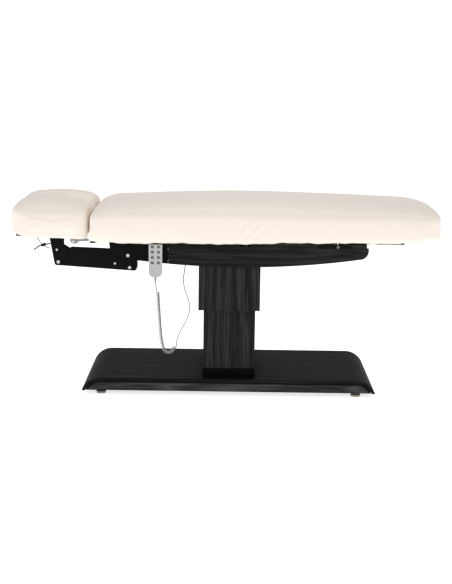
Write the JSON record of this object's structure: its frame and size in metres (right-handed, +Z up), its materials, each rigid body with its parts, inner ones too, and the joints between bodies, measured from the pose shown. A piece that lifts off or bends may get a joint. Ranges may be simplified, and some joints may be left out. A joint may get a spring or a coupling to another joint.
{
  "type": "facial treatment bed",
  "caption": "Facial treatment bed with a padded folding top, tilting headrest, lifting column, wood-clad base and corded handset.",
  "frame": {"origin": "on the floor under the centre of the bed's outline", "axes": "+X towards the foot end, -Y towards the handset side, +Z up"},
  "size_m": [2, 0.76, 0.9],
  "materials": {
    "cream_leather": "smooth synthetic leather, satin",
    "face_leather": "smooth synthetic leather, satin",
    "black_wood": "black-stained wood with open grain, satin",
    "black_board": "plywood painted black, matt",
    "black_steel": "black powder coat, fine texture",
    "lift_steel": "drawn tube, satin",
    "bolt_steel": "zinc-plated, bright",
    "foot_steel": "turned steel",
    "motor_plastic": "moulded, matt",
    "handset_plastic": "light grey moulded, satin",
    "button_plastic": "dark rubberised key",
    "cord_plastic": "light grey sheath, satin",
    "grip_plastic": "black dipped grip"
  },
  "bodies": {
    "base": {"base_shell": "black_wood", "base_side_panels": "black_wood", "base_frame": "black_steel", "levelling_feet": "foot_steel", "column_plinth": "black_board", "column_boards": "black_wood", "lift_outer_tube": "lift_steel", "lift_motor": "motor_plastic", "mains_inlet": "motor_plastic"},
    "top": {"sleeve_boards": "black_wood", "lift_inner_tube": "lift_steel", "skirt_sides": "black_wood", "skirt_end_cap": "black_steel", "skirt_foot_panel": "black_wood", "underframe": "black_steel", "seat_board": "black_board", "mattress_seat": "cream_leather", "control_box": "motor_plastic", "back_actuator": "motor_plastic", "leg_actuator": "motor_plastic", "handset_holder": "motor_plastic", "cord_gland": "cord_plastic", "cord_lead_upper": "cord_plastic", "cord_coil": "cord_plastic", "cord_lead_lower": "cord_plastic"},
    "back": {"back_frame": "black_steel", "back_board": "black_board", "mattress_back": "cream_leather", "back_hinge_shaft": "lift_steel", "headrest_bracket": "black_steel", "headrest_arms": "black_steel", "arm_bolts": "bolt_steel"},
    "back_rod": {"back_rod": "lift_steel"},
    "leg": {"leg_frame": "black_steel", "leg_board": "black_board", "mattress_leg": "cream_leather", "leg_hinge_shaft": "bolt_steel"},
    "leg_rod": {"leg_rod": "lift_steel"},
    "gas_cylinder": {"gas_cylinder": "black_steel"},
    "gas_rod": {"gas_rod": "lift_steel"},
    "headrest": {"headrest_plates": "black_steel", "headrest_board": "black_board", "headrest_pad": "face_leather", "headrest_tubes": "lift_steel", "headrest_clamps": "lift_steel", "headrest_fasteners": "bolt_steel", "lever_stay": "lift_steel"},
    "face_plug": {"face_plug": "face_leather"},
    "release_lever": {"release_lever": "grip_plastic"},
    "handset": {"handset_front": "handset_plastic", "handset_back": "handset_plastic", "handset_relief": "cord_plastic"},
    "button_1": {"button_1": "button_plastic"},
    "button_2": {"button_2": "button_plastic"},
    "button_3": {"button_3": "button_plastic"},
    "button_4": {"button_4": "button_plastic"},
    "button_5": {"button_5": "button_plastic"},
    "button_6": {"button_6": "button_plastic"},
    "button_7": {"button_7": "button_plastic"},
    "button_8": {"button_8": "button_plastic"}
  },
  "joints": [
    {"name": "lift", "type": "slide", "parent": "base", "child": "top", "axis": [0, 0, 1], "range_m": [-0.2, 0.02]},
    {"name": "back_tilt", "type": "hinge", "parent": "top", "child": "back", "pos_m": [0.1, 0, 0.702], "axis": [0, 1, 0], "range_deg": [0, 50]},
    {"name": "back_rod_slide", "type": "slide", "parent": "top", "child": "back_rod", "axis": [-1, 0, 0], "range_m": [0, 0.0434]},
    {"name": "leg_tilt", "type": "hinge", "parent": "top", "child": "leg", "pos_m": [0.52, 0, 0.717], "axis": [0, -1, 0], "range_deg": [0, 30]},
    {"name": "leg_rod_slide", "type": "slide", "parent": "top", "child": "leg_rod", "axis": [1, 0, 0], "range_m": [0, 0.0332]},
    {"name": "headrest_tilt", "type": "hinge", "parent": "back", "child": "headrest", "pos_m": [-0.811, 0, 0.586], "axis": [0, -1, 0], "range_deg": [0, 30]},
    {"name": "gas_spring_swing", "type": "hinge", "parent": "back", "child": "gas_cylinder", "pos_m": [-0.537, 0, 0.581], "axis": [0, -1, 0], "range_deg": [0, 3.29]},
    {"name": "gas_rod_slide", "type": "slide", "parent": "gas_cylinder", "child": "gas_rod", "axis": [-0.975, 0, 0.2221], "range_m": [0, 0.0263]},
    {"name": "release_lever_press", "type": "hinge", "parent": "headrest", "child": "release_lever", "pos_m": [-0.88, -0.05, 0.671], "axis": [0, -1, 0], "range_deg": [0, 8], "stiffness_Nm_per_rad": 0.6, "springref_deg": -5.73},
    {"name": "face_plug_lift", "type": "slide", "parent": "headrest", "child": "face_plug", "axis": [0, 0, 1], "range_m": [0, 0.16]},
    {"name": "handset_pull", "type": "slide", "parent": "top", "child": "handset", "axis": [0, -1, 0], "range_m": [0, 0.06]},
    {"name": "button_1_press", "type": "slide", "parent": "handset", "child": "button_1", "axis": [0, 1, 0], "range_m": [0, 0.001], "stiffness_N_per_m": 400, "springref_m": -0.0005},
    {"name": "button_2_press", "type": "slide", "parent": "handset", "child": "button_2", "axis": [0, 1, 0], "range_m": [0, 0.001], "stiffness_N_per_m": 400, "springref_m": -0.0005},
    {"name": "button_3_press", "type": "slide", "parent": "handset", "child": "button_3", "axis": [0, 1, 0], "range_m": [0, 0.001], "stiffness_N_per_m": 400, "springref_m": -0.0005},
    {"name": "button_4_press", "type": "slide", "parent": "handset", "child": "button_4", "axis": [0, 1, 0], "range_m": [0, 0.001], "stiffness_N_per_m": 400, "springref_m": -0.0005},
    {"name": "button_5_press", "type": "slide", "parent": "handset", "child": "button_5", "axis": [0, 1, 0], "range_m": [0, 0.001], "stiffness_N_per_m": 400, "springref_m": -0.0005},
    {"name": "button_6_press", "type": "slide", "parent": "handset", "child": "button_6", "axis": [0, 1, 0], "range_m": [0, 0.001], "stiffness_N_per_m": 400, "springref_m": -0.0005},
    {"name": "button_7_press", "type": "slide", "parent": "handset", "child": "button_7", "axis": [0, 1, 0], "range_m": [0, 0.001], "stiffness_N_per_m": 400, "springref_m": -0.0005},
    {"name": "button_8_press", "type": "slide", "parent": "handset", "child": "button_8", "axis": [0, 1, 0], "range_m": [0, 0.001], "stiffness_N_per_m": 400, "springref_m": -0.0005}
  ],
  "couplings": [
    {"joint": "back_rod_slide", "follows": "back_tilt", "m_per_rad": 0.04916},
    {"joint": "leg_rod_slide", "follows": "leg_tilt", "m_per_rad": 0.06243},
    {"joint": "gas_spring_swing", "follows": "headrest_tilt", "ratio": 0.10627},
    {"joint": "gas_rod_slide", "follows": "headrest_tilt", "m_per_rad": 0.04928}
  ]
}
